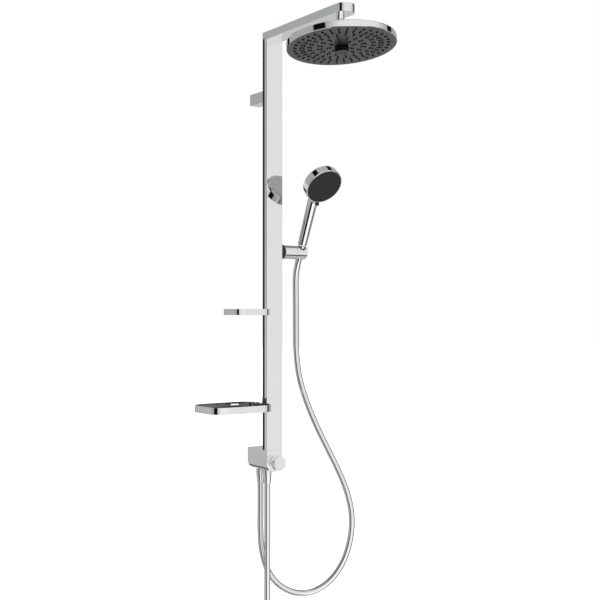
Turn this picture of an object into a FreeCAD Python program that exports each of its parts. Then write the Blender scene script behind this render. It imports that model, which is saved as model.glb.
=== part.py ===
import FreeCAD, Part
import os, math
from FreeCAD import Vector as V

os.makedirs("parts", exist_ok=True)

# Rainfall shower column. Frame: +Z up, the wall is the plane Y = 0 and the column
# stands in front of it, towards -Y. The origin is the centre of the diverter body's
# back face, at the height of the diverter knob's axis. Millimetres throughout.

# ---------------------------------------------------------------- driving dimensions
BAR_W = 46.0            # width of the flat bar, column and arm alike
BAR_T = 19.5            # thickness of the bar
FRONT_Y = -89.5         # front face of the column
BACK_Y = FRONT_Y + BAR_T
COL_Z0 = 31.2           # seam on top of the diverter body
ARM_TOP_Z = 1060.7
ARM_Z0 = ARM_TOP_Z - BAR_T      # underside of the arm, and top of the column
ARM_REACH = 308.0       # from the column's front face to the arm's end, which is half round in plan
FRONT_BAR = 10.2        # solid front part of the column section
SLOT_D = 8.0            # depth of the side slots
LIP_T = 1.5             # rear lip behind each slot
LIP_IN = 3.5            # the metal lip stops this far inside the bar's side; the liner covers the rest
EDGE_R = 0.7

BODY_TOP = 31.0         # diverter body
BODY_R = BAR_W / 2.0

KNOB_R = 17.0
KNOB_COLLAR_R = 18.4
KNOB_COLLAR_T = 3.2
KNOB_T = 21.0

INLET_Y = -56.3         # front nipple, fed from below
OUTLET_Y = -24.5        # rear nipple, to the hand shower
HOSE_D = 15.0
NUT_Z0 = -56.8          # lower end of the two hose nuts
NUT_R_TOP, NUT_R_LOW = 10.9, 8.7

BRACKET_Z = 906.0       # upper wall bracket
BRACKET_W, BRACKET_H = 31.0, 28.0

BALL_Y = -357.7         # ball joint of the rain head
BALL_Z = 1018.0
BALL_R = 9.0
HEAD_TILT = 6.85        # the head's front edge stands higher by this many degrees
HEAD_R = 125.0
HEAD_RIM_H = 15.0
FACE_DROP = 48.4        # ball centre to the spray face
FACE_R = 123.8

SLIDER_Z = 521.0        # hand shower holder
SLIDER_Y = FRONT_Y + 9.3
SLIDER_R = 17.0
SLIDER_X0 = 23.4
PAD_T = 6.0             # black block between the column and the round slider
CRADLE_X0, CRADLE_X1 = 64.3, 95.0
HAND_X = 81.5
HAND_Y = FRONT_Y + 6.0  # the handset axis crosses this point at the slider's height
HAND_TILT = 23.3
HEADLET_TILT = 18.1     # spray face against the handle's axis
HEADLET_S, HEADLET_W = 183.4, 32.6
HEADLET_R = 47.6
HEADLET_FACE_R = 45.4
HEADLET_T = 24.0

SHELF = dict(x0=-123.5, x1=-23.7, y0=FRONT_Y - 30.3, y1=FRONT_Y + 54.0, r=23.4, z0=364.4, z1=379.0)
BASKET = dict(x0=-195.9, x1=-23.7, y0=FRONT_Y - 48.2, y1=FRONT_Y + 77.9, r=38.0, z0=131.3, z1=147.8)
BAND_T = 2.0

# free lengths of hose: the centre lines, as points (x, y, z)
HOSE_SPLIT_LOW = (187.1, -137.0, -237.55)
HOSE_SPLIT_SLIDER = (82.7, -68.4, 239.8)
HOSE_SPLIT_CRADLE = (82.2, -62.5, 397.0)
HAND_HOSE_DROP = [
    (0.0, -24.5, NUT_Z0), (0.3, -24.7, -112.7), (-0.5, -24.2, -172.2), (2.6, -26.1, -236.1),
    (20.4, -36.8, -295.5), (57.5, -59.1, -333.4), (103.7, -86.9, -340.9), (146.3, -112.5, -316.0),
    (178.3, -131.7, -267.8), HOSE_SPLIT_LOW,
]
HAND_HOSE_RISE = [
    HOSE_SPLIT_LOW, (195.9, -142.3, -207.3), (199.7, -144.6, -140.9), (186.9, -136.9, -77.5),
    (165.8, -124.2, -20.4), (142.1, -109.9, 34.1), (119.2, -95.4, 89.8), (99.4, -82.0, 148.3),
    (85.1, -70.9, 209.2), HOSE_SPLIT_SLIDER,
]
HAND_HOSE_MID = [HOSE_SPLIT_SLIDER, (80.3, -65.9, 270.4), (81.3, -64.4, 322.0), (82.2, -62.8, 372.0), HOSE_SPLIT_CRADLE]
HAND_HOSE_TOP = [HOSE_SPLIT_CRADLE, (82.2, -62.2, 422.0), (81.6, -61.9, 455.0), (81.5, -68.073, 485.182)]
INLET_HOSE_Z1 = -357.0


# ---------------------------------------------------------------- helpers
def box(x0, x1, y0, y1, z0, z1):
    return Part.makeBox(x1 - x0, y1 - y0, z1 - z0, V(x0, y0, z0))


def cyl(p, d, r, h):
    return Part.makeCylinder(r, h, V(*p), V(*d))


def cone(p, d, r0, r1, h):
    return Part.makeCone(r0, r1, h, V(*p), V(*d))


def revolve_z(pts):
    """Closed solid of revolution about Z from (radius, z) points."""
    vs = [V(r, 0, z) for r, z in pts]
    return Part.Face(Part.makePolygon(vs + [vs[0]])).revolve(V(0, 0, 0), V(0, 0, 1), 360)


def turn(shape, centre, axis, deg):
    s = shape.copy()
    s.rotate(V(*centre), V(*axis), deg)
    return s


def move(shape, d):
    s = shape.copy()
    s.translate(V(*d))
    return s


def round_rect(x0, x1, y0, y1, r, z0, z1):
    b = box(x0, x1, y0, y1, z0, z1)
    edges = [e for e in b.Edges if abs(e.Vertexes[0].X - e.Vertexes[1].X) < 1e-6
             and abs(e.Vertexes[0].Y - e.Vertexes[1].Y) < 1e-6]
    return b.makeFillet(r, edges)


def fillet_if(shape, r, test):
    edges = [e for e in shape.Edges if test(e)]
    try:
        s = shape.makeFillet(r, edges)
        if s.isValid() and s.Volume > 0:
            return s
    except Exception:
        pass
    print("fillet left out:", len(edges), "edges, r", r)
    return shape


def kind(e):
    """Curve type of an edge; a sphere's pole has none."""
    try:
        return e.Curve.TypeId
    except TypeError:
        return ""


def along(e, axis):
    if kind(e) != "Part::GeomLine" or len(e.Vertexes) < 2:
        return False
    d = e.Vertexes[1].Point - e.Vertexes[0].Point
    return abs(abs(d.normalize().dot(axis)) - 1) < 1e-6


def tube_path(points):
    """Straight runs joined by arcs tangent to both, as large as the shorter run allows."""
    P = [V(*p) for p in points]
    edges, radii, start = [], [], P[0]
    for i in range(1, len(P) - 1):
        a, b, c = P[i - 1], P[i], P[i + 1]
        d0, d1 = (b - a), (c - b)
        l0, l1 = d0.Length, d1.Length
        d0.normalize()
        d1.normalize()
        turn_angle = math.acos(max(-1.0, min(1.0, d0.dot(d1))))
        cut = 0.45 * min(l0, l1)
        if turn_angle < math.radians(0.15):
            continue
        r = cut / math.tan(turn_angle / 2.0)
        radii.append(r)
        t0, t1 = b - d0 * cut, b + d1 * cut
        bis = (d1 - d0)
        bis.normalize()
        centre = b + bis * (r / math.cos(turn_angle / 2.0))
        mid = centre - bis * r
        edges.append(Part.LineSegment(start, t0).toShape())
        edges.append(Part.Arc(t0, mid, t1).toShape())
        start = t1
    edges.append(Part.LineSegment(start, P[-1]).toShape())
    return Part.Wire(edges), radii


def hose(points, d, name):
    wire, radii = tube_path(points)
    t = (V(*points[1]) - V(*points[0]))
    prof = Part.Wire([Part.makeCircle(d / 2.0, V(*points[0]), t)])
    s = wire.makePipeShell([prof], True, False)
    want = math.pi * d * d / 4 * wire.Length
    print(name, "length %.1f" % wire.Length, "volume ratio %.4f" % (s.Volume / want),
          "smallest radius %.0f" % (min(radii) if radii else 0), "valid", s.isValid(),
          "radii", [round(r) for r in radii])
    return s


OUT = {}


def put(name, shape):
    if isinstance(shape, (list, tuple)):
        shape = Part.makeCompound(list(shape))
    OUT[name] = shape


# ---------------------------------------------------------------- column
HX = BAR_W / 2.0
slot_x = HX - SLOT_D
y_slot0 = FRONT_Y + FRONT_BAR
y_slot1 = BACK_Y - LIP_T
bar = box(-HX, HX, FRONT_Y, BACK_Y, COL_Z0, ARM_Z0)
bar = fillet_if(bar, EDGE_R, lambda e: along(e, V(0, 0, 1)) and e.Vertexes[0].Y < FRONT_Y + 1)
for s in (-1, 1):
    bar = bar.cut(box(min(s * slot_x, s * (HX + 1)), max(s * slot_x, s * (HX + 1)), y_slot0, y_slot1, COL_Z0 - 1, ARM_Z0 + 1))
    bar = bar.cut(box(min(s * (HX - LIP_IN), s * (HX + 1)), max(s * (HX - LIP_IN), s * (HX + 1)), y_slot1 - 0.1, BACK_Y + 1, COL_Z0 - 1, ARM_Z0 + 1))
riser_y = FRONT_Y + 9.4
bar = bar.cut(cyl((0, riser_y, COL_Z0 - 1), (0, 0, 1), 6.6, ARM_Z0 - COL_Z0 + 2))
put("column_profile", bar)

def liner(s):
    o = box(min(s * slot_x, s * (HX - 0.5)), max(s * slot_x, s * (HX - 0.5)), y_slot0, y_slot1, COL_Z0, ARM_Z0)
    lip = box(min(s * (HX - LIP_IN), s * (HX - 0.5)), max(s * (HX - LIP_IN), s * (HX - 0.5)), y_slot1, BACK_Y, COL_Z0, ARM_Z0)
    ch = box(min(s * (slot_x + 1.3), s * (HX + 1)), max(s * (slot_x + 1.3), s * (HX + 1)), y_slot0 + 1.3, y_slot1 - 1.2, COL_Z0 - 1, ARM_Z0 + 1)
    return o.fuse(lip).cut(ch).removeSplitter()

put("groove_liner_left", liner(-1))
put("groove_liner_right", liner(1))
CH_Y0, CH_Y1 = y_slot0 + 1.3, y_slot1 - 1.2      # clear channel for the sliding feet
CH_X = slot_x + 1.3

put("riser_tube", cyl((0, riser_y, COL_Z0 - 9), (0, 0, 1), 6.0, ARM_Z0 - COL_Z0 + 14).cut(
    cyl((0, riser_y, COL_Z0 - 10), (0, 0, 1), 5.0, ARM_Z0 - COL_Z0 + 16)))

# ---------------------------------------------------------------- arm
arm_end = FRONT_Y - ARM_REACH
arm = box(-HX, HX, arm_end + HX, BACK_Y, ARM_Z0, ARM_TOP_Z).fuse(
    cyl((0, arm_end + HX, ARM_Z0), (0, 0, 1), HX, BAR_T)).removeSplitter()
arm = fillet_if(arm, EDGE_R, lambda e: (along(e, V(0, 1, 0)) and abs(abs(e.Vertexes[0].X) - HX) < 0.01)
                or (e.CenterOfMass.y < arm_end + HX - 1 and not along(e, V(0, 0, 1)) and (abs(e.CenterOfMass.z - ARM_Z0) < 0.01 or abs(e.CenterOfMass.z - ARM_TOP_Z) < 0.01)))
way_z = ARM_Z0 + 9.7
arm = arm.cut(cyl((0, BACK_Y - 4, way_z), (0, -1, 0), 6.6, BACK_Y - 4 - BALL_Y + 8))
arm = arm.cut(cyl((0, riser_y, ARM_Z0 - 1), (0, 0, 1), 6.6, 8))
arm = arm.cut(cyl((0, BALL_Y, ARM_Z0 - 1), (0, 0, 1), 5.55, 9))
for s in (-1, 1):
    arm = arm.cut(box(min(s * slot_x, s * (HX + 1)), max(s * slot_x, s * (HX + 1)), y_slot0, BACK_Y + 1, ARM_Z0 - 1, ARM_Z0 + 4.6))
put("arm_profile", arm)
put("arm_tube", cyl((0, riser_y - 7.2, way_z), (0, -1, 0), 6.0, riser_y - 7.2 - BALL_Y - 7.5).cut(
    cyl((0, riser_y, way_z), (0, -1, 0), 5.0, 400)))
plugs = []
for s in (-1, 1):
    p = box(min(s * slot_x, s * (HX - 0.3)), max(s * slot_x, s * (HX - 0.3)), y_slot0, BACK_Y, ARM_Z0, ARM_Z0 + 4.6)
    p = fillet_if(p, 3.4, lambda e: along(e, V(1, 0, 0)) and e.CenterOfMass.z > ARM_Z0 + 4)
    plugs.append(p)
put("groove_end_plugs", plugs)

# ---------------------------------------------------------------- upper wall bracket
bz0, bz1 = BRACKET_Z - BRACKET_H / 2, BRACKET_Z + BRACKET_H / 2
br = box(-BRACKET_W / 2, BRACKET_W / 2, BACK_Y, 0, bz0, bz1)
br = fillet_if(br, 0.8, lambda e: along(e, V(0, 1, 0)))
br = br.cut(box(-12.5, 12.5, -26, 1, bz0 + 3, bz1 - 3))
br = br.cut(cyl((0, -8.0, bz0 - 1), (0, 0, 1), 2.0, 5))
put("bracket_body", br)
wp = box(-12.3, 12.3, -12.0, 0, bz0 + 3.2, bz1 - 3.2)
for x in (-7.0, 7.0):
    wp = wp.cut(cyl((x, 1, BRACKET_Z), (0, -1, 0), 2.3, 14))
wp = wp.cut(cone((0, -8.0, bz0 + 3.0), (0, 0, 1), 2.2, 0.6, 2.4))
put("bracket_wall_plate", wp)
put("bracket_grub_screw", cyl((0, -8.0, bz0 + 0.4), (0, 0, 1), 1.9, 2.7).cut(cyl((0, -8.0, bz0 + 0.3), (0, 0, 1), 0.9, 1.6)))

# ---------------------------------------------------------------- diverter body
bd = box(-BODY_R, BODY_R, FRONT_Y, 0, 0, BODY_TOP).fuse(cyl((0, 0, 0), (0, -1, 0), BODY_R, -FRONT_Y)).removeSplitter()
bd = fillet_if(bd, 0.8, lambda e: e.CenterOfMass.y < FRONT_Y + 0.01 and not (along(e, V(1, 0, 0)) and e.CenterOfMass.z > BODY_TOP - 1))
CART_R = 14.0
bd = bd.cut(cyl((0, FRONT_Y - 1, 0), (0, 1, 0), CART_R, 27))                    # cartridge pocket
bd = bd.cut(cyl((0, riser_y, CART_R - 3), (0, 0, 1), 6.05, BODY_TOP))            # way up into the column
bd = bd.cut(cyl((0, INLET_Y, -BODY_R - 1), (0, 0, 1), 8.0, 13))                 # inlet seat
bd = bd.cut(cyl((0, OUTLET_Y, -BODY_R - 1), (0, 0, 1), 8.0, 13))                # outlet seat
bd = bd.cut(cyl((0, INLET_Y, -12), (0, 0, 1), 5.0, 13))
bd = bd.cut(cyl((0, INLET_Y, 0), (0, -1, 0), 5.0, 12))
bd = bd.cut(cyl((0, OUTLET_Y, -12), (0, 0, 1), 4.5, 21))
bd = bd.cut(cyl((0, OUTLET_Y + 1.5, 5.0), (0, -1, 0), 3.6, -FRONT_Y - 23 - 24.5))
for x in (-14.5, 14.5):
    bd = bd.cut(cyl((x, 1, 10.0), (0, -1, 0), 5.6, 29))                          # screw pockets
bd = bd.cut(box(-20.6, 20.6, -4.0, 1, 2.0, 18.0))                               # seat of the wall plate
put("diverter_body", bd)
lp = box(-20.4, 20.4, -4.0, 0, 2.2, 17.8)
for x in (-14.5, 14.5):
    lp = lp.cut(cyl((x, 1, 10.0), (0, -1, 0), 2.8, 6))
put("lower_wall_plate", lp)
cart = cyl((0, FRONT_Y + 2.2, 0), (0, 1, 0), CART_R - 0.1, 23.6).cut(cyl((0, FRONT_Y - 1, 0), (0, 1, 0), 4.05, 16.2))
cart = cart.cut(cyl((0, riser_y, 3), (0, 0, 1), 5.0, 20))
put("diverter_cartridge", cart)
col = cyl((0, FRONT_Y, 0), (0, -1, 0), KNOB_COLLAR_R, KNOB_COLLAR_T).cut(cyl((0, FRONT_Y + 1, 0), (0, -1, 0), 9.0, 8))
col = fillet_if(col, 0.7, lambda e: e.CenterOfMass.y < FRONT_Y - KNOB_COLLAR_T + 0.01 and e.Length > 90)
put("knob_collar", col)

# ---------------------------------------------------------------- knob, turns with the stem
ky = FRONT_Y - KNOB_COLLAR_T - 0.5
kn = cyl((0, ky, 0), (0, -1, 0), KNOB_R, KNOB_T)
kn = fillet_if(kn, 1.0, lambda e: e.CenterOfMass.y < ky - KNOB_T + 0.01)
kn = fillet_if(kn, 0.5, lambda e: e.CenterOfMass.y > ky - 0.01 and e.Length > 90)
kn = kn.cut(cyl((0, ky + 1, 0), (0, -1, 0), 7.0, 12)).cut(cyl((0, ky + 1, 0), (0, -1, 0), 4.0, 17))
kn = kn.cut(cyl((0, ky - 6, -20), (0, 0, 1), 2.0, 14))
put("knob", kn)
put("cartridge_stem", cyl((0, FRONT_Y + 15.0, 0), (0, -1, 0), 4.0, 15.0 + KNOB_COLLAR_T + 0.5 + 15.5).cut(
    box(-1, 1, ky - 15.6, ky - 12, -5, 5)))
put("knob_grub_screw", cyl((0, ky - 6, -16.0), (0, 0, 1), 1.95, 8.8))

# ---------------------------------------------------------------- hose connections under the body
def nipple(y):
    s = cyl((0, y, -36), (0, 0, 1), 7.6, 24.9)
    return s.cut(cyl((0, y, -37), (0, 0, 1), 5.2, 28))

put("inlet_nipple", nipple(INLET_Y))
put("outlet_nipple", nipple(OUTLET_Y))

def washer(y):
    return cyl((0, y, -38.4), (0, 0, 1), 7.6, 2.4).cut(cyl((0, y, -39), (0, 0, 1), 4.6, 4))

put("hose_washers", [washer(INLET_Y), washer(OUTLET_Y)])

def hose_nut(y):
    top = -23.2
    s = cyl((0, y, -33), (0, 0, 1), NUT_R_TOP, 33 + top).fuse(
        cone((0, y, NUT_Z0 + 1.2), (0, 0, 1), NUT_R_LOW, NUT_R_TOP, -33 - NUT_Z0 - 1.2)).fuse(
        cone((0, y, NUT_Z0), (0, 0, 1), NUT_R_LOW - 0.8, NUT_R_LOW, 1.2)).removeSplitter()
    s = s.cut(cyl((0, y, -38.5), (0, 0, 1), 7.7, 20)).cut(cyl((0, y, NUT_Z0 + 3), (0, 0, 1), 5.0, 30))
    return s

put("inlet_hose_nut", hose_nut(INLET_Y))
put("outlet_hose_nut", hose_nut(OUTLET_Y))

# ---------------------------------------------------------------- hoses
put("inlet_hose", cyl((0, INLET_Y, INLET_HOSE_Z1), (0, 0, 1), HOSE_D / 2, NUT_Z0 - INLET_HOSE_Z1))
ez = INLET_HOSE_Z1
fer = cyl((0, INLET_Y, ez - 9), (0, 0, 1), 8.2, 9)
fer = fillet_if(fer, 0.6, lambda e: e.CenterOfMass.z > ez - 0.1 and e.Length > 40).cut(cyl((0, INLET_Y, ez - 10), (0, 0, 1), 5.0, 8))
put("inlet_end_ferrule", fer)
hexr = 12.0 / math.cos(math.radians(30))
hexw = Part.makePolygon([V(hexr * math.cos(math.radians(60 * k)), INLET_Y + hexr * math.sin(math.radians(60 * k)), ez - 23) for k in range(7)])
nut = Part.Face(hexw).extrude(V(0, 0, 14)).common(cone((0, INLET_Y, ez - 23), (0, 0, 1), 12.6, 20.6, 8).fuse(cone((0, INLET_Y, ez - 15), (0, 0, 1), 20.6, 13.0, 6)))
nut = nut.cut(cyl((0, INLET_Y, ez - 24), (0, 0, 1), 9.5, 12.0)).cut(cyl((0, INLET_Y, ez - 13), (0, 0, 1), 5.2, 5))
put("inlet_end_nut", nut)
put("hand_hose_drop", hose(HAND_HOSE_DROP, HOSE_D, "hand_hose_drop"))
put("hand_hose_rise", hose(HAND_HOSE_RISE, HOSE_D, "hand_hose_rise"))
put("hand_hose_mid", hose(HAND_HOSE_MID, HOSE_D, "hand_hose_mid"))

# ---------------------------------------------------------------- slider
sl = cyl((SLIDER_X0 + PAD_T, SLIDER_Y, SLIDER_Z), (1, 0, 0), SLIDER_R, CRADLE_X0 - 0.3 - SLIDER_X0 - PAD_T)
sl = fillet_if(sl, 0.5, lambda e: e.Length > 90)
sl = sl.cut(cyl((CRADLE_X0 - 16, SLIDER_Y, SLIDER_Z), (1, 0, 0), 4.0, 20))
put("slider_body", sl)
pad = box(SLIDER_X0, SLIDER_X0 + PAD_T, FRONT_Y + 0.3, FRONT_Y + 25.0, SLIDER_Z - SLIDER_R, SLIDER_Z + SLIDER_R)
pad = fillet_if(pad, 0.6, lambda e: along(e, V(1, 0, 0)))
pad = pad.cut(box(SLIDER_X0 - 1, SLIDER_X0 + PAD_T + 1, CH_Y0 + 0.3, CH_Y1 - 0.3, SLIDER_Z - 12, SLIDER_Z + 12))
put("slider_pad", pad)
put("slider_foot", box(CH_X + 0.4, SLIDER_X0 + PAD_T, CH_Y0 + 0.3, CH_Y1 - 0.3, SLIDER_Z - 12, SLIDER_Z + 12))
pin = cyl((CRADLE_X0 - 16, SLIDER_Y, SLIDER_Z), (1, 0, 0), 4.0, 20.9)
put("slider_pin", pin)

# ---------------------------------------------------------------- cradle, tilts on the slider's pin
def hand_place(s):
    """From the handset's own frame: +Z along the handle, -Y the spray side."""
    s = s.copy()
    s.rotate(V(0, 0, 0), V(1, 0, 0), HAND_TILT)
    s.translate(V(HAND_X, HAND_Y, SLIDER_Z))
    return s

cr = cyl((CRADLE_X0, SLIDER_Y, SLIDER_Z), (1, 0, 0), SLIDER_R, CRADLE_X1 - CRADLE_X0)
cr = fillet_if(cr, 0.5, lambda e: e.CenterOfMass.x < CRADLE_X0 + 0.1 and e.Length > 90)
cr = fillet_if(cr, 1.0, lambda e: e.CenterOfMass.x > CRADLE_X1 - 0.1 and e.Length > 90)
cr = cr.cut(cyl((CRADLE_X0 - 1, SLIDER_Y, SLIDER_Z), (1, 0, 0), 4.05, 6.4))
cr = cr.cut(hand_place(cyl((0, 0, -40), (0, 0, 1), 10.1, 80)))
put("cradle", cr)
bush = hand_place(cyl((0, 0, -11.0), (0, 0, 1), 10.1, 24.0).cut(cone((0, 0, -12), (0, 0, 1), 8.45, 9.35, 26)))
put("cradle_bush", bush)

# ---------------------------------------------------------------- hose end, lifts out of the cradle
cn = cone((0, 0, -22.0), (0, 0, 1), 7.9, 9.25, 41.0).fuse(cone((0, 0, -23.0), (0, 0, 1), 7.3, 7.9, 1.0)).removeSplitter()
cn = cn.cut(cyl((0, 0, 2.0), (0, 0, 1), 7.4, 20)).cut(cyl((0, 0, -24), (0, 0, 1), 5.0, 28))
put("hand_hose_cone", hand_place(cn))
end_top = hand_place(Part.Vertex(V(0, 0, -23.1))).Point
end_dir = hand_place(Part.Vertex(V(0, 0, -35.0))).Point
print("hose end at", end_top, "straight below it", end_dir)
put("hand_hose_top", hose(HAND_HOSE_TOP + [(end_top.x, end_top.y, end_top.z)], HOSE_D, "hand_hose_top"))

# ---------------------------------------------------------------- handset
def headlet_place(s):
    """From the spray face's frame: face centre at the origin, +Z into the head."""
    s = s.copy()
    s.rotate(V(0, 0, 0), V(1, 0, 0), -90.0 + HEADLET_TILT)
    s.translate(V(0, -HEADLET_W, HEADLET_S))
    return s

puck = cyl((0, 0, 0), (0, 0, 1), HEADLET_R, HEADLET_T)
puck = fillet_if(puck, 1.6, lambda e: e.CenterOfMass.z < 0.1 and e.Length > 200)
puck = fillet_if(puck, 5.0, lambda e: e.CenterOfMass.z > HEADLET_T - 0.1 and e.Length > 200)
puck = headlet_place(puck)
handle = cone((0, 0, 22.2), (0, 0, 1), 11.6, 13.0, 126.0).fuse(cone((0, 0, 19.4), (0, 0, 1), 10.0, 11.6, 2.8)).fuse(
    Part.makeSphere(13.0, V(0, 0, 148.2))).removeSplitter()
shell = puck.fuse(handle).removeSplitter()
seam = [e for e in shell.Edges if 128 < e.CenterOfMass.z < 172 and kind(e) not in ("", "Part::GeomLine", "Part::GeomCircle")]
for rr in (6.0, 4.0, 2.5, 1.5):
    try:
        t = shell.makeFillet(rr, seam)
        if t.isValid() and abs(t.Volume - shell.Volume) < 0.1 * shell.Volume:
            shell = t
            print("handset seam fillet", rr)
            break
    except Exception:
        continue
thread = cyl((0, 0, 2.6), (0, 0, 1), 7.35, 18)
recess = headlet_place(cyl((0, 0, -1), (0, 0, 1), HEADLET_FACE_R + 0.1, 4.2))
shell = shell.cut(recess).cut(headlet_place(cyl((0, 0, 3), (0, 0, 1), 42.0, 16)))
shell = shell.fuse(thread).removeSplitter()
shell = shell.cut(cyl((0, 0, 0), (0, 0, 1), 4.6, 40)).cut(cone((0, 0, 26), (0, 0, 1), 9.0, 10.2, 98))
shell = shell.cut(cyl((0, 2.0, 120), (0, 0, 1), 6.0, 38))
button_box = box(2.3, 8.5, -19.6, -6.0, 129.3, 138.0)
shell = shell.cut(button_box)
put("handset_body", hand_place(shell))
face = cyl((0, 0, 0.0), (0, 0, 1), HEADLET_FACE_R, 3.0)
face = fillet_if(face, 0.5, lambda e: e.CenterOfMass.z < 0.1 and e.Length > 200)
put("handset_face", hand_place(headlet_place(face)))
nz = []
for ring_r, count in ((6.0, 6), (14.0, 12), (22.0, 18), (30.0, 24), (38.0, 30)):
    for k in range(count):
        a = 2 * math.pi * (k + 0.5 * (ring_r > 20)) / count
        nz.append(cone((ring_r * math.cos(a), ring_r * math.sin(a), 0), (0, 0, -1), 1.25, 0.9, 0.9))
put("handset_nozzles", [hand_place(headlet_place(n)) for n in nz])
bt = box(2.6, 8.2, -18.4, -10.0, 129.7, 137.6)
bt = fillet_if(bt, 1.5, lambda e: e.CenterOfMass.y < -18.3)
put("selector_button", hand_place(bt))

# ---------------------------------------------------------------- ball joint and rain head
ball = Part.makeSphere(BALL_R, V(0, 0, 0)).cut(box(-20, 20, -20, 20, -20, -7.8))
rod = cyl((0, 0, 6.0), (0, 0, 1), 5.5, ARM_Z0 + 7.6 - BALL_Z - 6.0)
FLANGE_H = 9.0
vis = cyl((0, 0, 8.9), (0, 0, 1), 7.4, ARM_Z0 - BALL_Z - 8.9 - FLANGE_H)
vis = fillet_if(vis, 0.6, lambda e: e.CenterOfMass.z < 9)
st = ball.fuse(rod).fuse(vis).removeSplitter().cut(cyl((0, 0, -12), (0, 0, 1), 3.2, 60))
put("ball_stem", move(st, (0, BALL_Y, BALL_Z)))
fl = cyl((0, BALL_Y, ARM_Z0), (0, 0, -1), 10.0, FLANGE_H)
fl = fillet_if(fl, 0.8, lambda e: e.CenterOfMass.z < ARM_Z0 - FLANGE_H + 0.1)
put("stem_flange", fl.cut(cyl((0, BALL_Y, ARM_Z0 + 1), (0, 0, -1), 5.6, FLANGE_H + 3)))

def head_place(s):
    s = s.copy()
    s.rotate(V(0, 0, 0), V(1, 0, 0), -HEAD_TILT)
    s.translate(V(0, BALL_Y, BALL_Z))
    return s

ring = Part.makeSphere(14.0).cut(Part.makeSphere(BALL_R + 0.05)).common(cyl((0, 0, -7.0), (0, 0, 1), 30, 11.0))
put("swivel_ring", head_place(ring))
sn = cyl((0, 0, -14.2), (0, 0, 1), 17.0, 22.0)
sn = fillet_if(sn, 1.5, lambda e: e.CenterOfMass.z > 7.7)
sn = sn.cut(Part.makeSphere(14.05)).cut(cyl((0, 0, 0), (0, 0, 1), 12.6, 12)).cut(cyl((0, 0, -15), (0, 0, 1), 10.0, 6.0))
put("swivel_nut", head_place(sn))

z_face, z_rim = -FACE_DROP, -FACE_DROP + HEAD_RIM_H
hub_top = -14.5
outer = [(HEAD_R - 0.9, z_face - 0.3), (HEAD_R, z_face + 0.7), (HEAD_R, z_rim - 2.0), (HEAD_R - 0.6, z_rim - 0.7), (HEAD_R - 2.0, z_rim), (60.0, z_rim + 4.0), (26.0, z_rim + 9.0), (24.0, z_rim + 11.0),
         (23.0, hub_top), (9.95, hub_top), (9.95, -11.6), (4.0, -11.6)]
inner = [(4.0, -24.5), (20.0, -26.5), (60.0, z_rim + 1.5), (HEAD_R - 6.0, z_rim - 2.6), (HEAD_R - 4.6, z_rim - 4.5), (HEAD_R - 4.6, z_face + 3.0), (FACE_R + 0.15, z_face + 3.0), (FACE_R + 0.15, z_face - 0.3)]
put("rain_head_shell", head_place(revolve_z(outer + inner)))
fp = cyl((0, 0, z_face), (0, 0, 1), FACE_R, 3.0)
put("rain_face_plate", head_place(fp))
RINGS = ((29.0, 8, 11.5), (50.0, 16, 13.0), (72.0, 24, 10.7), (89.5, 36, 11.5), (106.0, 36, 7.6))
rn = []
for r, count, length in RINGS:
    for k in range(count):
        a = math.radians(360.0 * k / count)
        for d in (-0.5, 0.5):
            rr = r + d * (length - 4.0)
            rn.append(cone((rr * math.cos(a), rr * math.sin(a), z_face), (0, 0, -1), 1.7, 1.2, 1.2))
put("rain_nozzles", [head_place(n) for n in rn])
BOSS_H = 13.8
boss = cyl((0, 0, z_face), (0, 0, -1), 15.6, BOSS_H)
boss = fillet_if(boss, 0.6, lambda e: e.CenterOfMass.z < z_face - BOSS_H + 0.1)
boss = boss.cut(cyl((0, 0, z_face + 1), (0, 0, -1), 13.6, BOSS_H - 1.0))
put("rain_centre_cap", head_place(boss))

# ---------------------------------------------------------------- shelf and basket
def band(p, t, notch):
    o = round_rect(p["x0"], p["x1"], p["y0"], p["y1"], p["r"], p["z0"], p["z1"])
    o = fillet_if(o, 0.5, lambda e: abs(e.CenterOfMass.z - p["z1"]) < 0.01 or abs(e.CenterOfMass.z - p["z0"]) < 0.01)
    i = round_rect(p["x0"] + t, p["x1"] - t, p["y0"] + t, p["y1"] - t, p["r"] - t, p["z0"] - 1, p["z1"] + 1)
    s = o.cut(i)
    ledge = round_rect(p["x0"] + t - 0.5, p["x1"] - t + 0.5, p["y0"] + t - 0.5, p["y1"] - t + 0.5, p["r"] - t, p["z0"] + 0.8, p["z0"] + 2.6)
    ledge = ledge.cut(round_rect(p["x0"] + t + 5, p["x1"] - t - 5, p["y0"] + t + 5, p["y1"] - t - 5, p["r"] - t - 4, p["z0"], p["z0"] + 4))
    s = s.fuse(ledge).removeSplitter()
    if notch:
        s = s.cut(box(p["x1"] - t - 0.01, p["x1"] + 1, notch[0], notch[1], p["z0"] + 2.6, p["z1"] + 1))
    return s

cl_y0, cl_y1 = FRONT_Y - 1.0, FRONT_Y + 17.2

def tray(p, t, zt):
    x0, x1, y0, y1 = p["x0"] + t + 0.4, p["x1"] - t - 0.4, p["y0"] + t + 0.4, p["y1"] - t - 0.4
    z0 = p["z0"] + 2.7
    s = round_rect(x0, x1, y0, y1, p["r"] - t - 0.4, z0, zt)
    s = s.cut(round_rect(x0 + 1.4, x1 - 1.4, y0 + 1.4, y1 - 1.4, p["r"] - t - 1.8, z0 + 1.6, zt + 1))
    return s, (x0, x1, y0, y1, z0)

def clamp(p, top):
    plate = box(p["x1"] - BAND_T, p["x1"] + 0.2, cl_y0 + 0.2, cl_y1 - 0.2, p["z0"] + 2.8, top)
    plate = fillet_if(plate, 1.5, lambda e: along(e, V(1, 0, 0)) and e.CenterOfMass.z > top - 0.1)
    foot = box(p["x1"] + 0.2, -CH_X - 0.4, CH_Y0 + 0.3, CH_Y1 - 0.3, p["z0"] + 3.5, top - 1.5)
    s = plate.fuse(foot).removeSplitter()
    return s

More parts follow.
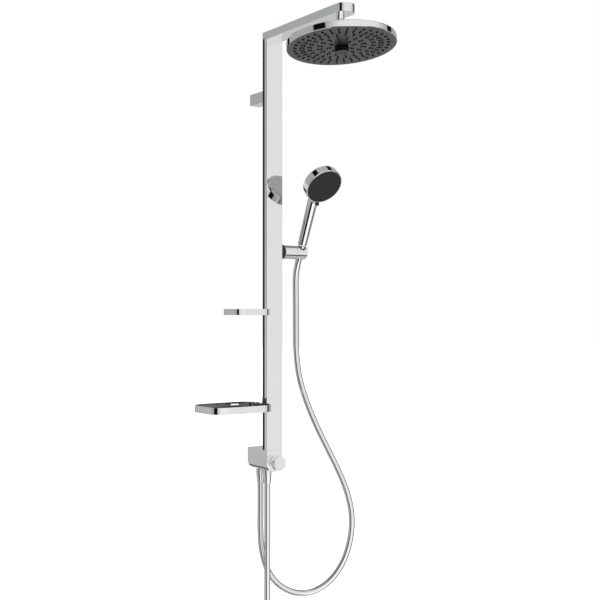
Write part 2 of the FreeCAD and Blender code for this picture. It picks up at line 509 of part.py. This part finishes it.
def clamp_screw(p, z):
    y = FRONT_Y + 6.0
    head = cyl((p["x1"] - BAND_T, y, z), (-1, 0, 0), 3.0, 1.4)
    return head.cut(cyl((p["x1"] - BAND_T - 0.6, y, z), (-1, 0, 0), 1.3, 2))

put("shelf_ring", band(SHELF, BAND_T, (cl_y0, cl_y1)))
st_, (sx0, sx1, sy0, sy1, sz0) = tray(SHELF, BAND_T, SHELF["z1"] - 4.0)
for k in range(5):
    yy = sy0 + 14 + k * (sy1 - sy0 - 28) / 4.0
    st_ = st_.cut(round_rect(sx0 + 16, sx1 - 16, yy - 2.5, yy + 2.5, 2.4, sz0 - 1, sz0 + 3))
st_ = st_.cut(box(sx1 - 2.0, sx1 + 1, cl_y0 - 4.4, cl_y1 + 1, sz0 + 1.6, SHELF["z1"]))
put("shelf_tray", st_)
put("shelf_clamp", clamp(SHELF, SHELF["z1"] - 0.4))
put("shelf_screw", clamp_screw(SHELF, SHELF["z0"] + 8.0))

bk = band(BASKET, BAND_T, (cl_y0, cl_y1))
bk = bk.cut(box(-79.5, -57.5, BASKET["y1"] - BAND_T - 1, BASKET["y1"] + 1, 139.9, 142.9))
put("basket_ring", bk)
bt_, (sx0, sx1, sy0, sy1, sz0) = tray(BASKET, BAND_T, BASKET["z0"] + 6.6)
for k in range(8):
    yy = sy0 + 14 + k * (sy1 - sy0 - 28) / 7.0
    bt_ = bt_.cut(round_rect(sx0 + 18, (sx0 + sx1) / 2 - 4, yy - 2.5, yy + 2.5, 2.4, sz0 - 1, sz0 + 3))
    bt_ = bt_.cut(round_rect((sx0 + sx1) / 2 + 4, sx1 - 18, yy - 2.5, yy + 2.5, 2.4, sz0 - 1, sz0 + 3))
bt_ = bt_.cut(box(sx1 - 2.0, sx1 + 1, FRONT_Y + 2.2, FRONT_Y + 9.8, sz0 - 1, BASKET["z1"]))
put("basket_tray", bt_)
put("basket_clamp", clamp(BASKET, BASKET["z1"] + 11.8))
put("basket_screw", clamp_screw(BASKET, BASKET["z0"] + 11.6))

# ---------------------------------------------------------------- write
tot = 0
for name, s in OUT.items():
    solids = s.Solids
    bad = [x for x in solids if not x.isValid() or x.Volume <= 0]
    bb = s.BoundBox
    print("%-22s solids %3d vol %10.1f  x %.1f..%.1f y %.1f..%.1f z %.1f..%.1f%s" % (
        name, len(solids), s.Volume, bb.XMin, bb.XMax, bb.YMin, bb.YMax, bb.ZMin, bb.ZMax, "  BAD" if bad else ""))
    if len(solids) == 1:
        s = solids[0]
    s.exportStep("parts/%s.step" % name)
    tot += 1
print("nodes", tot)
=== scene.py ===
import bpy, bmesh, math
from mathutils import Vector, Matrix


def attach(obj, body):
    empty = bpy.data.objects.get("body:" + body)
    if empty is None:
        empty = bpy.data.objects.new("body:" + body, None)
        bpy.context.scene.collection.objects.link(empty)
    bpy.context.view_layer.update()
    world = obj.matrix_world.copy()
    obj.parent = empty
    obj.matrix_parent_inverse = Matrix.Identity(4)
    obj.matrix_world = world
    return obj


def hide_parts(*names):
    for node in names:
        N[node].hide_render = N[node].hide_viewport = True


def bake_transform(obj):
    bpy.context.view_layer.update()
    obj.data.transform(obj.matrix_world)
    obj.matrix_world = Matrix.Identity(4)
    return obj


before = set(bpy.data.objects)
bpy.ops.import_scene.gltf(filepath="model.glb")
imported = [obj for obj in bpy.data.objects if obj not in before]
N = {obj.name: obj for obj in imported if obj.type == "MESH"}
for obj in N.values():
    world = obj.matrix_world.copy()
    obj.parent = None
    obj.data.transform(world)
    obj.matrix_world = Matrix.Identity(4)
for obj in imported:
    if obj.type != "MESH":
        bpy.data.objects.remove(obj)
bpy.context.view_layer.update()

MM = 0.001

# ------------------------------------------------------------------ camera
cam_data = bpy.data.cameras.new("camera")
cam = bpy.data.objects.new("camera", cam_data)
bpy.context.scene.collection.objects.link(cam)
cam.location = (-1.41585, -2.2382, 0.3788)
cam.rotation_euler = (math.radians(90), 0, math.radians(-34.775))
cam_data.sensor_width = 36.0
cam_data.lens = 62.58
cam_data.shift_y = 0.01517
cam_data.clip_start, cam_data.clip_end = 0.05, 60
bpy.context.scene.camera = cam
bpy.context.scene.view_settings.view_transform = "Standard"


# ------------------------------------------------------------------ materials
def mat(name):
    m = bpy.data.materials.new(name)
    m.use_nodes = True
    nt = m.node_tree
    b = nt.nodes["Principled BSDF"]
    return m, nt, b


def node(nt, kind, **kw):
    n = nt.nodes.new(kind)
    for k, v in kw.items():
        setattr(n, k, v)
    return n


def ramp(nt, stops, interp="LINEAR"):
    r = nt.nodes.new("ShaderNodeValToRGB")
    r.color_ramp.interpolation = interp
    e = r.color_ramp.elements
    while len(e) > 1:
        e.remove(e[-1])
    e[0].position = stops[0][0]
    e[0].color = (*stops[0][1], 1) if len(stops[0][1]) == 3 else stops[0][1]
    for p, c in stops[1:]:
        x = e.new(p)
        x.color = (*c, 1) if len(c) == 3 else c
    return r


def grey(v):
    return (v, v, v)


def noise(nt, scale, detail=3.0, rough=0.5, coords="Object", vec_scale=None):
    tc = nt.nodes.new("ShaderNodeTexCoord")
    n = nt.nodes.new("ShaderNodeTexNoise")
    n.inputs["Scale"].default_value = scale
    n.inputs["Detail"].default_value = detail
    n.inputs["Roughness"].default_value = rough
    out = tc.outputs[coords]
    if vec_scale:
        mp = nt.nodes.new("ShaderNodeMapping")
        mp.inputs["Scale"].default_value = vec_scale
        nt.links.new(out, mp.inputs["Vector"])
        out = mp.outputs["Vector"]
    nt.links.new(out, n.inputs["Vector"])
    return n


def bump(nt, b, height, strength, distance):
    bp = nt.nodes.new("ShaderNodeBump")
    bp.inputs["Strength"].default_value = strength
    bp.inputs["Distance"].default_value = distance
    nt.links.new(height, bp.inputs["Height"])
    nt.links.new(bp.outputs["Normal"], b.inputs["Normal"])
    return bp


def chrome(name, tint=(0.88, 0.89, 0.90), rough=(0.03, 0.06), scale=9.0, ripple=0.0):
    """Mirror chrome plate: polish that varies a little over the surface, with a faint random variation in tint."""
    m, nt, b = mat(name)
    b.inputs["Metallic"].default_value = 1.0
    n = noise(nt, scale, 4.0, 0.6)
    r = ramp(nt, [(0.30, grey(rough[0])), (0.72, grey(rough[1]))])
    nt.links.new(n.outputs["Fac"], r.inputs["Fac"])
    nt.links.new(r.outputs["Color"], b.inputs["Roughness"])
    n2 = noise(nt, scale * 3.1, 2.0, 0.5)
    c = ramp(nt, [(0.3, tuple(x * 0.975 for x in tint)), (0.7, tint)])
    nt.links.new(n2.outputs["Fac"], c.inputs["Fac"])
    nt.links.new(c.outputs["Color"], b.inputs["Base Color"])
    if ripple:
        n3 = noise(nt, 22.0, 1.0, 0.4)
        bump(nt, b, n3.outputs["Fac"], ripple, 0.0004)
    return m


M = {}
M["chrome"] = chrome("mirror_chrome")
M["chrome_bar"] = chrome("mirror_chrome_bar", rough=(0.025, 0.05), scale=5.0)
M["chrome_small"] = chrome("mirror_chrome_small", rough=(0.02, 0.045), scale=40.0)


def moulded(name, colour, rough, spec=0.5, grain=900.0, bump_strength=0.15, var=0.15, distance=0.00012):
    """Moulded plastic: fine spark-erosion grain, slightly uneven tone."""
    m, nt, b = mat(name)
    n = noise(nt, 35.0, 4.0, 0.6)
    c = ramp(nt, [(0.25, tuple(x * (1 - var) for x in colour)), (0.75, tuple(min(1, x * (1 + var)) for x in colour))])
    nt.links.new(n.outputs["Fac"], c.inputs["Fac"])
    nt.links.new(c.outputs["Color"], b.inputs["Base Color"])
    g = noise(nt, grain, 2.0, 0.5)
    r = ramp(nt, [(0.3, grey(max(0.02, rough - 0.06))), (0.7, grey(min(1, rough + 0.06)))])
    nt.links.new(g.outputs["Fac"], r.inputs["Fac"])
    nt.links.new(r.outputs["Color"], b.inputs["Roughness"])
    b.inputs["Specular IOR Level"].default_value = spec
    bump(nt, b, g.outputs["Fac"], bump_strength, distance)
    return m


# near-black plastic; on the groove liners this black is painted shade in the column's groove, on the other parts it is
# their own black
M["groove"] = moulded("black_plastic_and_groove_painted_shade", grey(0.022), 0.45, bump_strength=0.05)
M["face"] = moulded("dark_spray_face", (0.050, 0.052, 0.054), 0.36, grain=1400)
M["hand_face"] = moulded("dark_hand_spray_face", (0.020, 0.020, 0.022), 0.30, grain=1400)
M["nozzle"] = moulded("black_silicone", grey(0.003), 0.55, spec=0.25, grain=2200)
M["tray"] = moulded("dark_tray_plastic", grey(0.045), 0.35, grain=1100)
M["rubber"] = moulded("black_rubber", grey(0.01), 0.7)


def boss_material():
    """Centre boss: its flat end in the spray face's grey, its side painted black as shade, parted by which way the
    surface looks.
    """
    m, nt, b = mat("spray_boss_painted_side_shade")
    geo = nt.nodes.new("ShaderNodeNewGeometry")
    dot = nt.nodes.new("ShaderNodeVectorMath")
    dot.operation = "DOT_PRODUCT"
    dot.inputs[1].default_value = (0.0, -math.sin(math.radians(6.85)), -math.cos(math.radians(6.85)))
    nt.links.new(geo.outputs["True Normal"], dot.inputs[0])
    end = ramp(nt, [(0.80, grey(0.0)), (0.93, grey(1.0))])
    nt.links.new(dot.outputs["Value"], end.inputs["Fac"])
    n = noise(nt, 35.0, 4.0, 0.6)
    tone = ramp(nt, [(0.25, (0.045, 0.047, 0.049)), (0.75, (0.056, 0.058, 0.060))])
    nt.links.new(n.outputs["Fac"], tone.inputs["Fac"])
    # painted shade: every face but the downward end is mixed to near black
    mix = nt.nodes.new("ShaderNodeMixRGB")
    mix.inputs["Color1"].default_value = (0.004, 0.004, 0.004, 1)
    nt.links.new(end.outputs["Color"], mix.inputs["Fac"])
    nt.links.new(tone.outputs["Color"], mix.inputs["Color2"])
    nt.links.new(mix.outputs["Color"], b.inputs["Base Color"])
    g = noise(nt, 1400.0, 2.0, 0.5)
    r = ramp(nt, [(0.3, grey(0.30)), (0.7, grey(0.42))])
    nt.links.new(g.outputs["Fac"], r.inputs["Fac"])
    nt.links.new(r.outputs["Color"], b.inputs["Roughness"])
    b.inputs["Specular IOR Level"].default_value = 0.2
    return m


M["boss"] = boss_material()


def metal(name, colour, rough, stretch=None, scale=60.0):
    """Turned or sanded metal: fine directional scratches in the roughness and the bump."""
    m, nt, b = mat(name)
    b.inputs["Metallic"].default_value = 1.0
    n = noise(nt, scale, 5.0, 0.65, vec_scale=stretch or (1, 1, 14))
    c = ramp(nt, [(0.25, tuple(x * 0.86 for x in colour)), (0.75, colour)])
    nt.links.new(n.outputs["Fac"], c.inputs["Fac"])
    nt.links.new(c.outputs["Color"], b.inputs["Base Color"])
    r = ramp(nt, [(0.3, grey(rough * 0.75)), (0.7, grey(rough * 1.25))])
    nt.links.new(n.outputs["Fac"], r.inputs["Fac"])
    nt.links.new(r.outputs["Color"], b.inputs["Roughness"])
    bump(nt, b, n.outputs["Fac"], 0.12, 0.00015)
    return m


M["clamp"] = metal("dark_satin_metal", grey(0.16), 0.28)
M["brass"] = metal("turned_brass", (0.72, 0.52, 0.24), 0.25)
M["steel"] = metal("plain_steel", grey(0.55), 0.3)


def hose_material():
    """Silver hose: smooth clear skin over fine metallic windings, laid out along the hose by its UV map."""
    m, nt, b = mat("silver_hose")
    b.inputs["Metallic"].default_value = 1.0
    b.inputs["Coat Weight"].default_value = 0.0
    # black edge tint: painted shade darkening the hose's rims at grazing angles
    b.inputs["Specular Tint"].default_value = (0.0, 0.0, 0.0, 1)
    b.inputs["Coat Roughness"].default_value = 0.05
    uv = nt.nodes.new("ShaderNodeUVMap")
    uv.uv_map = "along"
    w = nt.nodes.new("ShaderNodeTexWave")
    w.wave_type = "BANDS"
    w.bands_direction = "X"
    w.inputs["Scale"].default_value = 1.0
    w.inputs["Distortion"].default_value = 0.0
    mp = nt.nodes.new("ShaderNodeMapping")
    mp.inputs["Scale"].default_value = (90.0, 0.32, 1.0)
    nt.links.new(uv.outputs["UV"], mp.inputs["Vector"])
    nt.links.new(mp.outputs["Vector"], w.inputs["Vector"])
    c = ramp(nt, [(0.0, (0.80, 0.81, 0.82)), (1.0, (0.88, 0.89, 0.90))])
    nt.links.new(w.outputs["Fac"], c.inputs["Fac"])
    nt.links.new(c.outputs["Color"], b.inputs["Base Color"])
    n = noise(nt, 60.0, 3.0, 0.5)
    r = ramp(nt, [(0.3, grey(0.035)), (0.7, grey(0.065))])
    nt.links.new(n.outputs["Fac"], r.inputs["Fac"])
    nt.links.new(r.outputs["Color"], b.inputs["Roughness"])
    bump(nt, b, w.outputs["Fac"], 0.02, 0.00003)
    return m


M["hose"] = hose_material()

NODE_MAT = {
    "column_profile": "chrome_bar", "arm_profile": "chrome_bar",
    "bracket_body": "chrome", "diverter_body": "chrome", "knob_collar": "chrome", "knob": "chrome", "inlet_hose_nut": "chrome_small", "outlet_hose_nut": "chrome_small",
    "slider_body": "chrome", "cradle": "chrome", "hand_hose_cone": "chrome_small", "handset_body": "chrome", "ball_stem": "chrome_small", "stem_flange": "chrome_small",
    "swivel_nut": "chrome_small", "rain_head_shell": "chrome", "shelf_ring": "chrome", "basket_ring": "chrome", "inlet_end_ferrule": "chrome_small",
    "shelf_clamp": "clamp", "basket_clamp": "clamp",
    # the groove liners' near-black is painted shade in the column's groove; the plugs, foot, pad and bush are black
    # plastic
    "groove_liner_left": "groove", "groove_liner_right": "groove", "groove_end_plugs": "groove", "slider_foot": "groove", "slider_pad": "groove", "cradle_bush": "groove",
    "riser_tube": "brass", "arm_tube": "brass", "inlet_nipple": "chrome_small", "outlet_nipple": "chrome_small", "inlet_end_nut": "chrome_small", "diverter_cartridge": "brass",
    "bracket_wall_plate": "steel", "lower_wall_plate": "steel", "bracket_grub_screw": "steel", "knob_grub_screw": "steel", "shelf_screw": "steel", "basket_screw": "steel",
    "slider_pin": "steel", "cartridge_stem": "steel", "hose_washers": "rubber", "swivel_ring": "rubber",
    "rain_face_plate": "face", "rain_centre_cap": "boss", "handset_face": "hand_face", "selector_button": "hand_face",
    "rain_nozzles": "nozzle", "handset_nozzles": "nozzle", "shelf_tray": "tray", "basket_tray": "tray",
    "inlet_hose": "hose", "hand_hose_drop": "hose", "hand_hose_rise": "hose", "hand_hose_mid": "hose", "hand_hose_top": "hose",
}
for name, o in N.items():
    m = M[NODE_MAT[name]]
    if not o.material_slots:
        o.data.materials.append(m)
    for s in o.material_slots:
        s.material = m


# ------------------------------------------------------------------ pieces made here
def piece(name, verts, faces, material, uvs=None, smooth=True):
    me = bpy.data.meshes.new(name)
    me.from_pydata(verts, [], faces)
    if uvs is not None:
        layer = me.uv_layers.new(name="along")
        for poly in me.polygons:
            for li in poly.loop_indices:
                layer.data[li].uv = uvs[poly.index][li - poly.loop_start]
    me.validate()
    me.update()
    for poly in me.polygons:
        poly.use_smooth = smooth
    o = bpy.data.objects.new(name, me)
    bpy.context.scene.collection.objects.link(o)
    o.data.materials.append(material)
    return o


def spline_points(name, pts, resolution=10):
    """Points along a NURBS line whose control points are the route's."""
    cu = bpy.data.curves.new(name + "_route", "CURVE")
    cu.dimensions = "3D"
    sp = cu.splines.new("NURBS")
    sp.points.add(len(pts) - 1)
    for q, p in zip(sp.points, pts):
        q.co = (p[0] * MM, p[1] * MM, p[2] * MM, 1.0)
    sp.order_u = 3
    sp.use_endpoint_u = True
    sp.resolution_u = resolution
    o = bpy.data.objects.new(name + "_route", cu)
    bpy.context.scene.collection.objects.link(o)
    bpy.context.view_layer.update()
    me = bpy.data.meshes.new_from_object(o)
    out = [v.co.copy() for v in me.vertices]
    bpy.data.objects.remove(o)
    bpy.data.meshes.remove(me)
    clean = [out[0]]
    for v in out[1:]:
        if (v - clean[-1]).length > 1e-5:
            clean.append(v)
    return clean


def resample(pts, step):
    acc = [0.0]
    for a, b in zip(pts, pts[1:]):
        acc.append(acc[-1] + (b - a).length)
    total = acc[-1]
    n = max(2, int(round(total / step)))
    res, k = [], 0
    for i in range(n + 1):
        t = total * i / n
        while k < len(acc) - 2 and acc[k + 1] < t:
            k += 1
        u = (t - acc[k]) / max(1e-9, acc[k + 1] - acc[k])
        res.append(pts[k].lerp(pts[k + 1], min(1.0, max(0.0, u))))
    return res, total


def hose_tube(name, route, along0=0.0, radius=0.0075, sides=40, step=0.003):
    """A round hose along the route: rings carried without twist, UVs laid out along its length."""
    fine = spline_points(name, route, 16)
    if len(route) == 2:
        fine = [Vector(p) * MM for p in route]
    pts, total = resample(fine, step)
    tang = []
    for i in range(len(pts)):
        a, b = pts[max(0, i - 1)], pts[min(len(pts) - 1, i + 1)]
        tang.append((b - a).normalized())
    tang[0] = (Vector(route[1]) - Vector(route[0])).normalized()
    tang[-1] = (Vector(route[-1]) - Vector(route[-2])).normalized()
    up = Vector((1, 0, 0)) if abs(tang[0].x) < 0.9 else Vector((0, 1, 0))
    nrm = (up - tang[0] * up.dot(tang[0])).normalized()
    verts, frames = [], []
    for i, (p, t) in enumerate(zip(pts, tang)):
        nrm = (nrm - t * nrm.dot(t)).normalized()
        bi = t.cross(nrm)
        frames.append((nrm.copy(), bi))
        # fine windings under the skin: a very slight swell every turn
        r = radius * (1.0 + 0.0006 * math.sin(2 * math.pi * (along0 + total * i / (len(pts) - 1)) / 0.006))
        for k in range(sides):
            a = 2 * math.pi * k / sides
            verts.append(p + nrm * (r * math.cos(a)) + bi * (r * math.sin(a)))
    faces, uvs = [], []
    n = len(pts)
    for i in range(n - 1):
        u0 = along0 + total * i / (n - 1)
        u1 = along0 + total * (i + 1) / (n - 1)
        for k in range(sides):
            k2 = (k + 1) % sides
            faces.append((i * sides + k, i * sides + k2, (i + 1) * sides + k2, (i + 1) * sides + k))
            v0, v1 = k / sides, (k + 1) / sides
            uvs.append(((u0, v0), (u0, v1), (u1, v1), (u1, v0)))
    for end, order in ((0, -1), (n - 1, 1)):
        c = len(verts)
        verts.append(pts[end].copy())
        for k in range(sides):
            verts.append(verts[end * sides + k].copy())
        for k in range(sides):
            k2 = (k + 1) % sides
            a, b = c + 1 + k, c + 1 + k2
            faces.append((c, a, b) if order > 0 else (c, b, a))
            uvs.append(((along0, 0.5), (along0, 0.5), (along0, 0.5)))
    o = piece(name, [tuple(v) for v in verts], faces, M["hose"], uvs)
    return o, [tuple(p) for p in pts], total


NUT_Z0 = -56.8
HOSE_SPLIT_LOW = (187.1, -137.0, -237.55)
HOSE_SPLIT_SLIDER = (82.7, -68.4, 239.8)
HOSE_SPLIT_CRADLE = (82.2, -62.5, 397.0)
HAND_HOSE_DROP = [
    (0.0, -24.5, NUT_Z0), (0.3, -24.7, -112.7), (-0.5, -24.2, -172.2), (2.6, -26.1, -236.1),
    (20.4, -36.8, -295.5), (57.5, -59.1, -333.4), (103.7, -86.9, -340.9), (146.3, -112.5, -316.0),
    (178.3, -131.7, -267.8), HOSE_SPLIT_LOW,
]
HAND_HOSE_RISE = [
    HOSE_SPLIT_LOW, (195.9, -142.3, -207.3), (199.7, -144.6, -140.9), (186.9, -136.9, -77.5),
    (165.8, -124.2, -20.4), (142.1, -109.9, 34.1), (119.2, -95.4, 89.8), (99.4, -82.0, 148.3),
    (85.1, -70.9, 209.2), HOSE_SPLIT_SLIDER,
]
HAND_HOSE_MID = [HOSE_SPLIT_SLIDER, (80.3, -65.9, 270.4), (81.3, -64.4, 322.0), (82.2, -62.8, 372.0), HOSE_SPLIT_CRADLE]
HAND_HOSE_TOP = [HOSE_SPLIT_CRADLE, (82.2, -62.2, 422.0), (81.6, -61.9, 455.0), (81.5, -68.073, 485.182), (81.5, -74.3629, 499.7839)]


drop, path, l1 = hose_tube("hose_drop", HAND_HOSE_DROP)
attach(drop, "column")
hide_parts("hand_hose_drop")

rise, path, l2 = hose_tube("hose_rise", HAND_HOSE_RISE, l1)
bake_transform(rise)
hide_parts("hand_hose_rise")

mid, path, l3 = hose_tube("hose_mid", HAND_HOSE_MID, l1 + l2)
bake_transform(mid)
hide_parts("hand_hose_mid")

top_, path, l4 = hose_tube("hose_top", HAND_HOSE_TOP, l1 + l2 + l3)
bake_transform(top_)
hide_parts("hand_hose_top")

inlet, path, l5 = hose_tube("hose_inlet", [(0.0, -56.3, NUT_Z0), (0.0, -56.3, -357.0)])
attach(inlet, "column")
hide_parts("inlet_hose")
print("hose lengths", l1, l2, l3, l4, l5)

# spray pads of the rain head: raised radial dashes with a nub at each end
HEAD_TILT = math.radians(6.85)
BALL = Vector((0.0, -0.3577, 1.018))
FACE_DROP = 0.0484
head_m = Matrix.Translation(BALL) @ Matrix.Rotation(-HEAD_TILT, 4, "X")


def dome(cx, cy, ca, sa, z, r, h, verts, faces, rings=4, sides=14):
    base = len(verts)
    for i in range(rings):
        t = i / rings * math.pi / 2
        for k in range(sides):
            a = 2 * math.pi * k / sides
            verts.append(head_m @ Vector((cx + r * math.cos(t) * math.cos(a), cy + r * math.cos(t) * math.sin(a), z - h * math.sin(t))))
    verts.append(head_m @ Vector((cx, cy, z - h)))
    tip = len(verts) - 1
    for i in range(rings - 1):
        for k in range(sides):
            k2 = (k + 1) % sides
            faces.append((base + i * sides + k, base + (i + 1) * sides + k, base + (i + 1) * sides + k2, base + i * sides + k2))
    for k in range(sides):
        k2 = (k + 1) % sides
        faces.append((base + (rings - 1) * sides + k, tip, base + (rings - 1) * sides + k2))
    faces.append(tuple(base + k for k in range(sides)))


def stadium(cx, cy, ca, sa, length, w, z, h, verts, faces, sides=8):
    """Low pad with rounded ends and a softened lower edge."""
    def outline(inset):
        pts = []
        L = length / 2 - w / 2
        for end in (1, -1):
            for k in range(sides + 1):
                a = -math.pi / 2 + math.pi * k / sides
                pts.append((end * (L + (w / 2 - inset) * math.cos(a)), end * (w / 2 - inset) * math.sin(a)))
        return pts
    base = len(verts)
    layers = [(0.0, z), (0.0, z - 0.6 * h), (0.18 * w, z - h)]
    n = None
    for inset, zz in layers:
        o = outline(inset)
        n = len(o)
        for u, v in o:
            verts.append(head_m @ Vector((cx + u * ca - v * sa, cy + u * sa + v * ca, zz)))
    for li in range(len(layers) - 1):
        for k in range(n):
            k2 = (k + 1) % n
            faces.append((base + li * n + k, base + (li + 1) * n + k, base + (li + 1) * n + k2, base + li * n + k2))
    faces.append(tuple(base + (len(layers) - 1) * n + k for k in reversed(range(n))))
    faces.append(tuple(base + k for k in range(n)))


verts, faces = [], []
z_face = -FACE_DROP
for r, count, length in ((29.0, 8, 11.5), (50.0, 16, 13.0), (72.0, 24, 10.7), (89.5, 36, 11.5), (106.0, 36, 7.6)):
    for k in range(count):
        a = 2 * math.pi * k / count
        ca, sa = math.cos(a), math.sin(a)
        cx, cy = r * MM * ca, r * MM * sa
        stadium(cx, cy, ca, sa, (length - 0.4) * MM, 3.7 * MM, z_face + 0.0001, 1.0 * MM, verts, faces)
        for d in (-0.5, 0.5):
            rr = (r + d * (length - 4.0)) * MM
            dome(rr * ca, rr * sa, ca, sa, z_face + 0.0001, 2.35 * MM, 2.4 * MM, verts, faces)
pads = piece("spray_pads", [tuple(v) for v in verts], faces, M["nozzle"])
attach(pads, "rain_head")
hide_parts("rain_nozzles")


# ------------------------------------------------------------------ floor and light
def plane(name, size, z):
    me = bpy.data.meshes.new(name)
    s = size / 2
    me.from_pydata([(-s, -s, z), (s, -s, z), (s, s, z), (-s, s, z)], [], [(0, 1, 2, 3)])
    o = bpy.data.objects.new(name, me)
    bpy.context.scene.collection.objects.link(o)
    return o


floor = plane("floor", 60.0, -1.05)
fm, fnt, fb = mat("pale_floor")
fb.inputs["Base Color"].default_value = (0.9, 0.9, 0.9, 1)
fb.inputs["Roughness"].default_value = 0.9
fb.inputs["Emission Color"].default_value = (1, 1, 1, 1)
fb.inputs["Emission Strength"].default_value = 0.9
floor.data.materials.append(fm)
floor.visible_glossy = False
floor.visible_diffuse = False
floor.visible_shadow = False

world = bpy.data.worlds.new("studio")
bpy.context.scene.world = world
world.use_nodes = True
wt = world.node_tree
wt.nodes.clear()
out = wt.nodes.new("ShaderNodeOutputWorld")
tc = wt.nodes.new("ShaderNodeTexCoord")
sep = wt.nodes.new("ShaderNodeSeparateXYZ")
wt.links.new(tc.outputs["Generated"], sep.inputs["Vector"])
DX, DY, DZ = sep.outputs["X"], sep.outputs["Y"], sep.outputs["Z"]


def wmath(op, a, b=None, c=None, clamp=False):
    n = wt.nodes.new("ShaderNodeMath")
    n.operation = op
    n.use_clamp = clamp
    for i, v in enumerate((a, b, c)):
        if v is None:
            continue
        if isinstance(v, (int, float)):
            n.inputs[i].default_value = v
        else:
            wt.links.new(v, n.inputs[i])
    return n.outputs[0]


def smooth(v, lo, hi, a=0.0, b=1.0):
    n = wt.nodes.new("ShaderNodeMapRange")
    n.interpolation_type = "SMOOTHSTEP"
    for key, x in (("Value", v), ("From Min", lo), ("From Max", hi), ("To Min", a), ("To Max", b)):
        if isinstance(x, (int, float)):
            n.inputs[key].default_value = x
        else:
            wt.links.new(x, n.inputs[key])
    return n.outputs[0]


neg_y = wmath("MULTIPLY", DY, -1.0)
az = wmath("ARCTAN2", DX, neg_y)          # 0 towards -Y, positive towards +X
azn = wmath("MULTIPLY_ADD", az, 1 / (2 * math.pi), 0.5)
elev = wmath("ARCSINE", DZ)
azd = wmath("MULTIPLY", az, 180 / math.pi)
eld = wmath("MULTIPLY", elev, 180 / math.pi)


def AZ(deg):
    return deg / 360.0 + 0.5


# the soft boxes round the object, by azimuth
boxes = ramp(wt, [(AZ(a), grey(v)) for a, v in (
    (-180, .42), (-150, .42), (-116, .43), (-100, .40), (-75, .40), (-65, .47), (-54, .63), (-44, .79), (-30, .85),
    (30, .85), (42, .80), (53, .68), (63, .52), (75, .42), (100, .40), (113, .42), (123, .46), (135, .50), (150, .50), (165, .46), (180, .42))])
wt.links.new(azn, boxes.inputs["Fac"])
light = boxes.outputs["Color"]
light = wmath("MULTIPLY_ADD", wmath("MULTIPLY", smooth(DY, 0.1, 0.5), smooth(eld, 6.0, -8.0)), 0.09, light)
# a brighter card low in front
lobe = wmath("MULTIPLY", wmath("EXPONENT", wmath("MULTIPLY", wmath("POWER", wmath("DIVIDE", wmath("ADD", azd, 9.0), 27.0), 2.0), -1.0)),
             smooth(eld, 6.0, -32.0, 0.0, 1.0))
light = wmath("MULTIPLY_ADD", lobe, 0.42, light)
# floor side and ceiling side
light = wmath("ADD", wmath("MULTIPLY", light, smooth(eld, -62.0, -46.0)), wmath("MULTIPLY", smooth(eld, -46.0, -62.0), 0.60))
light = wmath("ADD", wmath("MULTIPLY", light, smooth(eld, 72.0, 58.0)), wmath("MULTIPLY", smooth(eld, 58.0, 72.0), 0.46))
# the black frame between the front and the back boxes
absx = wmath("ABSOLUTE", DX)
q = wmath("ADD", wmath("MULTIPLY", DY, -0.89), wmath("SUBTRACT", wmath("MULTIPLY", DZ, 0.40), wmath("MULTIPLY", absx, 0.20)))
dist = wmath("ABSOLUTE", wmath("SUBTRACT", q, 0.05))
left = wmath("LESS_THAN", DX, 0.0)
w_left = wmath("SUBTRACT", 0.205, wmath("MULTIPLY", smooth(DZ, 0.34, 0.80), 0.07))
width = wmath("ADD", wmath("MULTIPLY", left, w_left), wmath("MULTIPLY", wmath("SUBTRACT", 1.0, left), 0.125))
gap = smooth(wmath("SUBTRACT", dist, width), -0.025, 0.035)
side = smooth(absx, 0.16, 0.36)
gap = wmath("SUBTRACT", 1.0, wmath("MULTIPLY", wmath("SUBTRACT", 1.0, gap), side))
# the thin seam straight behind
rho = wmath("SQRT", wmath("ADD", wmath("MULTIPLY", DX, DX), wmath("MULTIPLY", DY, DY)))
seam = smooth(wmath("DIVIDE", wmath("ABSOLUTE", wmath("ADD", DX, 0.02)), rho), 0.080, 0.155)
behind = wmath("MULTIPLY", wmath("GREATER_THAN", DY, 0.0), wmath("MULTIPLY", smooth(eld, -58.0, -44.0), smooth(eld, 62.0, 50.0)))
seam = wmath("SUBTRACT", 1.0, wmath("MULTIPLY", wmath("SUBTRACT", 1.0, seam), behind))
light = wmath("MULTIPLY", light, wmath("MULTIPLY", gap, seam))
light = wmath("MAXIMUM", light, 0.004)

bg = wt.nodes.new("ShaderNodeBackground")
wt.links.new(light, bg.inputs["Color"])
bg.inputs["Strength"].default_value = 1.0
white = wt.nodes.new("ShaderNodeBackground")
white.inputs["Color"].default_value = (1, 1, 1, 1)
lp = wt.nodes.new("ShaderNodeLightPath")
ms = wt.nodes.new("ShaderNodeMixShader")
wt.links.new(lp.outputs["Is Camera Ray"], ms.inputs[0])
wt.links.new(bg.outputs[0], ms.inputs[1])
wt.links.new(white.outputs[0], ms.inputs[2])
wt.links.new(ms.outputs[0], out.inputs["Surface"])
